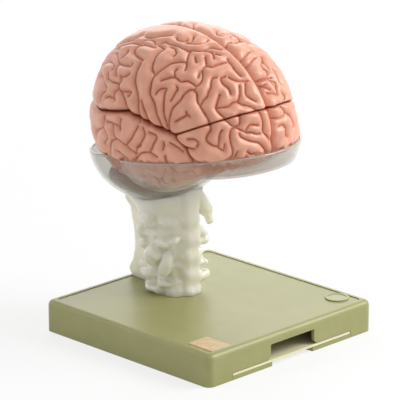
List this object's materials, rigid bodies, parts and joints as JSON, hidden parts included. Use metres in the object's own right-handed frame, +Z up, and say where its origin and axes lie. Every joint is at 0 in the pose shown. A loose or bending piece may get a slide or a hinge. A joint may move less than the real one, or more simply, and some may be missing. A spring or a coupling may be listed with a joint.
{
  "type": "brain anatomy model",
  "caption": "Life-size teaching model of a human brain that lifts apart, seated in a clear skull base on a neck column and a square base with a sliding key card.",
  "frame": {"origin": "middle of the base's flat underside", "axes": "+Z up; the brain's forehead and the key card face -Y; the model's right side is -X"},
  "size_m": [0.18, 0.1932, 0.2403],
  "materials": {
    "green_plastic": "satin moulded plastic",
    "card_cream": "smooth thin plastic card",
    "disc_green": "satin embossed disc",
    "label_beige": "plain printed field",
    "casting_white": "milky, slightly see-through casting",
    "clear_shell": "clear glossy plastic shell",
    "brain_pink": "satin painted soft plastic, darker in the furrows",
    "cerebellum_brown": "satin painted plastic",
    "stem_ivory": "satin painted plastic",
    "steel": "plain zinc plated steel",
    "pin_ivory": "turned plastic pins"
  },
  "bodies": {
    "stand": {"base_shell": "green_plastic", "base_plate": "green_plastic", "plate_screws": "steel", "plain_disc": "disc_green", "plain_label": "label_beige", "cervical_spine": "casting_white", "skull_base": "clear_shell", "clamp_rod": "steel", "base_washer": "steel", "base_nut": "steel", "skull_washer": "steel", "skull_nut": "steel", "upper_pins": "pin_ivory", "lobe_pins": "pin_ivory", "median_pins": "pin_ivory", "right_cerebrum_top": "brain_pink", "right_frontal_base": "brain_pink", "right_temporal_occipital": "brain_pink", "right_cerebellum": "cerebellum_brown", "right_brain_stem": "stem_ivory", "left_cerebrum_top": "brain_pink", "left_frontal_base": "brain_pink", "left_temporal_occipital": "brain_pink", "left_cerebellum": "cerebellum_brown", "left_brain_stem": "stem_ivory"},
    "card": {"key_card": "card_cream"}
  },
  "joints": [
    {"name": "card_slide", "type": "slide", "parent": "stand", "child": "card", "axis": [0, -1, 0], "range_m": [0, 0.12]}
  ]
}
